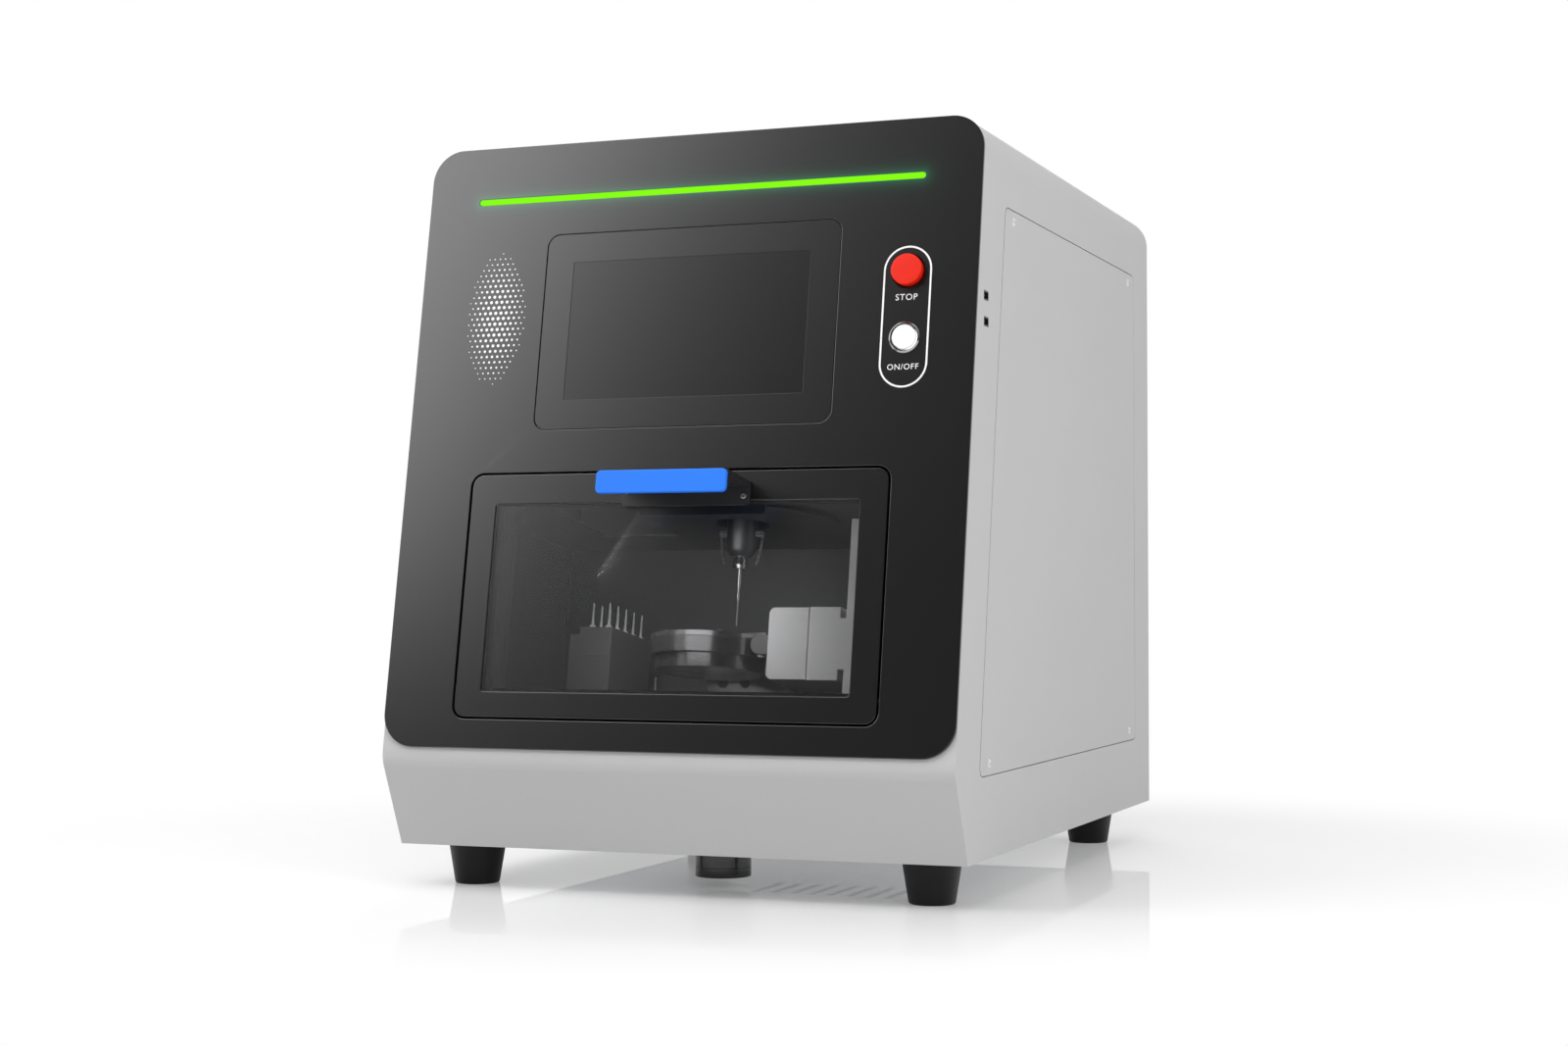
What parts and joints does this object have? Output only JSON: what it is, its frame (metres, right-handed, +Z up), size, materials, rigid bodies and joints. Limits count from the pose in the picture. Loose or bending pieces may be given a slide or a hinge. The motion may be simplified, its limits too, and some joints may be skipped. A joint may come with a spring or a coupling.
{
  "type": "benchtop dental milling machine",
  "caption": "Silver box-shaped benchtop dental mill with a leaning black front: screen, buttons, light bar, and a bottom-hinged window door with a blue grip over a five-axis milling chamber.",
  "frame": {"origin": "centre of the footprint on the floor, under the middle of the bounding box", "axes": "+Z up, the leaning front with the door faces -Y, +X is to the right as seen from the front"},
  "size_m": [0.5228, 0.7492, 0.66],
  "materials": {
    "cabinet_paint": "satin silver-grey powder coat",
    "zinc_sheet": "zinc-plated sheet",
    "screw_steel": "satin",
    "foot_rubber": "satin black",
    "black_gloss": "gloss black",
    "green_light": "lit diffuser",
    "screen_glass": "dark screen glass",
    "black_plastic": "fine grain",
    "red_plastic": "gloss red",
    "bright_steel": "polished",
    "white_plastic": "gloss white",
    "smoked_glass": "smoked clear",
    "black_sheet": "satin black",
    "blue_paint": "satin blue",
    "dark_steel": "dark",
    "chamber_sheet": "dark grey",
    "machined_alloy": "fine milled",
    "motor_black": "black",
    "brass_fitting": "turned",
    "board_green": "solder mask"
  },
  "bodies": {
    "cabinet": {"cabinet_shell": "cabinet_paint", "base_pan": "zinc_sheet", "rear_panel": "cabinet_paint", "left_access_panel": "cabinet_paint", "right_access_panel": "cabinet_paint", "cabinet_screws": "screw_steel", "feet": "foot_rubber", "dust_spigot": "zinc_sheet", "front_fascia": "black_gloss", "light_bar": "green_light", "display_bezel": "black_gloss", "display_panel": "screen_glass", "estop_housing": "black_plastic", "power_switch_body": "bright_steel", "usb_ports": "bright_steel", "hinge_brackets": "bright_steel", "latch_plate": "dark_steel", "chamber_liner": "chamber_sheet", "bur_magazine": "machined_alloy", "magazine_burs": "bright_steel", "sensor_body": "dark_steel", "rotary_housing": "machined_alloy", "fixed_motors": "motor_black", "machine_bed": "dark_steel", "mains_inlet": "black_plastic", "fan_housing": "black_plastic", "air_fitting": "brass_fitting", "power_supply": "zinc_sheet", "control_board": "board_green"},
    "door": {"door_panel": "black_gloss", "door_window": "smoked_glass", "door_frame": "black_plastic", "door_seal": "foot_rubber", "handle_bracket": "black_sheet", "grip_plate": "blue_paint", "handle_screws": "screw_steel", "hinge_pins": "bright_steel"},
    "stop_plunger": {"estop_plunger": "black_plastic"},
    "stop_head": {"estop_head": "red_plastic"},
    "power_cap": {"power_button_cap": "white_plastic"},
    "y_gantry": {"y_beam": "machined_alloy", "x_motor": "motor_black"},
    "y_ball_screw": {"y_screw": "bright_steel"},
    "x_slider": {"x_carriage": "machined_alloy", "ceiling_cover": "black_sheet", "z_motor": "motor_black"},
    "x_ball_screw": {"x_screw": "bright_steel"},
    "z_slider": {"z_carriage": "machined_alloy", "spindle_body": "dark_steel", "air_nozzles": "bright_steel"},
    "z_ball_screw": {"z_screw": "bright_steel"},
    "spindle_rotor": {"collet_nut": "bright_steel", "milling_cutter": "bright_steel"},
    "a_rotor": {"rotary_head": "machined_alloy"},
    "b_holder": {"blank_holder": "machined_alloy", "clamp_ring": "machined_alloy", "clamp_screws": "screw_steel"},
    "sensor_plunger": {"sensor_pin": "bright_steel"},
    "rocker": {"rocker_switch": "red_plastic"},
    "fan": {"fan_rotor": "black_plastic"}
  },
  "joints": [
    {"name": "door_hinge", "type": "hinge", "parent": "cabinet", "child": "door", "pos_m": [0, -0.33946, 0.17092], "axis": [1, 0, 0], "range_deg": [0, 99.9]},
    {"name": "stop_press", "type": "slide", "parent": "cabinet", "child": "stop_plunger", "axis": [0, 0.9851, -0.1719], "range_m": [0, 0.004]},
    {"name": "stop_twist", "type": "hinge", "parent": "stop_plunger", "child": "stop_head", "pos_m": [0.199, -0.28828, 0.52813], "axis": [0, 0.9851, -0.1719], "range_deg": [0, 45], "stiffness_Nm_per_rad": 0.02},
    {"name": "power_press", "type": "slide", "parent": "cabinet", "child": "power_cap", "axis": [0, 0.9851, -0.1719], "range_m": [0, 0.002], "stiffness_N_per_m": 800, "springref_m": -0.001},
    {"name": "y_slide", "type": "slide", "parent": "cabinet", "child": "y_gantry", "axis": [0, 0.9851, -0.1719], "range_m": [-0.024, 0.045]},
    {"name": "y_screw_turn", "type": "hinge", "parent": "cabinet", "child": "y_ball_screw", "pos_m": [0.195, -0.15413, 0.34871], "axis": [0, 0.9851, -0.1719], "range_deg": [-1734, 3245]},
    {"name": "x_slide", "type": "slide", "parent": "y_gantry", "child": "x_slider", "axis": [1, 0, 0], "range_m": [-0.143, 0.025]},
    {"name": "x_screw_turn", "type": "hinge", "parent": "y_gantry", "child": "x_ball_screw", "pos_m": [0, -0.09711, 0.36718], "axis": [1, 0, 0], "range_deg": [-10301, 1806]},
    {"name": "z_slide", "type": "slide", "parent": "x_slider", "child": "z_slider", "axis": [0, 0.1719, 0.9851], "range_m": [-0.06, 0.02]},
    {"name": "z_screw_turn", "type": "hinge", "parent": "x_slider", "child": "z_ball_screw", "pos_m": [0, -0.11268, 0.39426], "axis": [0, 0.1719, 0.9851], "range_deg": [-4325, 1445]},
    {"name": "spindle_spin", "type": "hinge", "parent": "z_slider", "child": "spindle_rotor", "pos_m": [0, -0.1661, 0.28015], "axis": [0, 0.1719, 0.9851], "continuous": true},
    {"name": "a_axis", "type": "hinge", "parent": "cabinet", "child": "a_rotor", "pos_m": [0.085, -0.17872, 0.20784], "axis": [1, 0, 0], "range_deg": [-60, 60]},
    {"name": "b_axis", "type": "hinge", "parent": "a_rotor", "child": "b_holder", "pos_m": [0.036, -0.17872, 0.20784], "axis": [0, 0.9851, -0.1719], "range_deg": [-25, 25]},
    {"name": "sensor_press", "type": "slide", "parent": "cabinet", "child": "sensor_plunger", "axis": [0, 0.1719, 0.9851], "range_m": [-0.003, 0], "stiffness_N_per_m": 150, "springref_m": 0.001},
    {"name": "rocker_turn", "type": "hinge", "parent": "cabinet", "child": "rocker", "pos_m": [-0.19, 0.34958, 0.166], "axis": [-1, 0, 0], "range_deg": [0, 18]},
    {"name": "fan_spin", "type": "hinge", "parent": "cabinet", "child": "fan", "pos_m": [0.13, 0.34028, 0.5], "axis": [0, 1, 0], "continuous": true}
  ],
  "couplings": [
    {"joint": "y_screw_turn", "follows": "y_slide", "rad_per_m": 1256.6},
    {"joint": "x_screw_turn", "follows": "x_slide", "rad_per_m": 1256.6},
    {"joint": "z_screw_turn", "follows": "z_slide", "rad_per_m": 1256.6}
  ]
}
